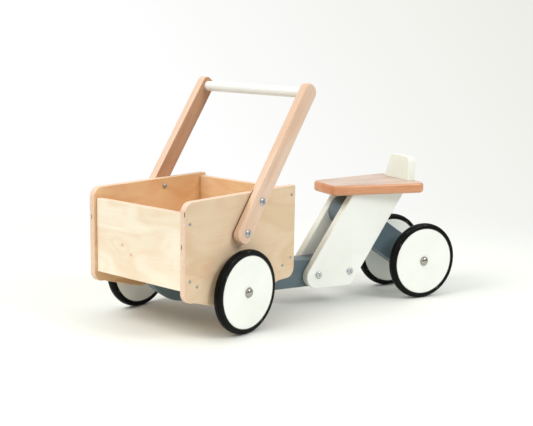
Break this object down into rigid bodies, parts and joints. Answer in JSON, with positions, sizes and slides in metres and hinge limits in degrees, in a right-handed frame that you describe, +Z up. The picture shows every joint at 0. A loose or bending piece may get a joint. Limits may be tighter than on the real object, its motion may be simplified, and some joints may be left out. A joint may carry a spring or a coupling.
{
  "type": "ride-on cargo cart",
  "caption": "Wooden toddler ride-on cart with a steering cargo box, push handle, small seat with backrest and rubber-tyred disc wheels.",
  "frame": {"origin": "middle of the whole cart's footprint on the ground, with the steering in its rest position", "axes": "+Z up, the rider faces -Y, +X is the rider's left; the rest position has the box turned 21.6 degrees to the rider's left"},
  "size_m": [0.3788, 0.7724, 0.4588],
  "materials": {
    "birch_ply": "clear satin varnish",
    "beech": "clear satin varnish",
    "white_paint": "satin paint on wood",
    "slate_paint": "satin paint on wood",
    "tyre": "matt",
    "chrome": "polished",
    "zinc": "zinc plated",
    "nylon": "matt"
  },
  "bodies": {
    "rear_frame": {"frame_beam": "slate_paint", "rear_stay": "slate_paint", "seat_board": "beech", "seat_backrest": "white_paint", "side_plate_left": "white_paint", "side_plate_right": "white_paint", "plate_bolt_front": "zinc", "plate_nut_front": "zinc", "plate_bolt_back": "zinc", "plate_nut_back": "zinc", "rear_axle_rod": "zinc", "rear_spacer_left": "nylon", "rear_cap_left": "chrome", "rear_spacer_right": "nylon", "rear_cap_right": "chrome", "steering_bolt": "zinc", "steering_washer": "nylon", "steering_nut": "zinc"},
    "cargo_box": {"box_panel_front": "birch_ply", "box_panel_rear": "birch_ply", "box_floor": "birch_ply", "box_panel_left": "birch_ply", "box_panel_right": "birch_ply", "handle_arm_left": "beech", "handle_arm_right": "beech", "grip_bar": "white_paint", "front_cap_left": "chrome", "front_spacer_left": "nylon", "front_cap_right": "chrome", "front_spacer_right": "nylon", "front_axle_bolt_left": "zinc", "front_axle_bolt_right": "zinc", "screw_front_upper_left": "zinc", "screw_front_lower_left": "zinc", "screw_floor_front_left": "zinc", "screw_floor_rear_left": "zinc", "screw_rear_upper_left": "zinc", "screw_rear_lower_left": "zinc", "screw_front_upper_right": "zinc", "screw_front_lower_right": "zinc", "screw_floor_front_right": "zinc", "screw_floor_rear_right": "zinc", "screw_rear_upper_right": "zinc", "screw_rear_lower_right": "zinc", "arm_bolt_upper_left": "zinc", "arm_nut_upper_left": "zinc", "arm_bolt_lower_left": "zinc", "arm_nut_lower_left": "zinc", "arm_bolt_upper_right": "zinc", "arm_nut_upper_right": "zinc", "arm_bolt_lower_right": "zinc", "arm_nut_lower_right": "zinc"},
    "front_left_wheel": {"front_wheel_left_disc": "white_paint", "front_wheel_left_tyre": "tyre"},
    "front_right_wheel": {"front_wheel_right_disc": "white_paint", "front_wheel_right_tyre": "tyre"},
    "rear_left_wheel": {"rear_wheel_left_disc": "white_paint", "rear_wheel_left_tyre": "tyre"},
    "rear_right_wheel": {"rear_wheel_right_disc": "white_paint", "rear_wheel_right_tyre": "tyre"}
  },
  "joints": [
    {"name": "steering", "type": "hinge", "parent": "rear_frame", "child": "cargo_box", "pos_m": [0.00987, -0.18607, 0.1], "axis": [0, 0, 1], "range_deg": [-51.6, 8.4]},
    {"name": "front_left_wheel_spin", "type": "hinge", "parent": "cargo_box", "child": "front_left_wheel", "pos_m": [0.15319, -0.15513, 0.08], "axis": [0.9298, 0.3681, 0], "continuous": true},
    {"name": "front_right_wheel_spin", "type": "hinge", "parent": "cargo_box", "child": "front_right_wheel", "pos_m": [-0.11579, -0.26163, 0.08], "axis": [0.9298, 0.3681, 0], "continuous": true},
    {"name": "rear_left_wheel_spin", "type": "hinge", "parent": "rear_frame", "child": "rear_left_wheel", "pos_m": [0.07092, 0.30623, 0.08], "axis": [1, 0, 0], "continuous": true},
    {"name": "rear_right_wheel_spin", "type": "hinge", "parent": "rear_frame", "child": "rear_right_wheel", "pos_m": [-0.05119, 0.30623, 0.08], "axis": [1, 0, 0], "continuous": true}
  ]
}
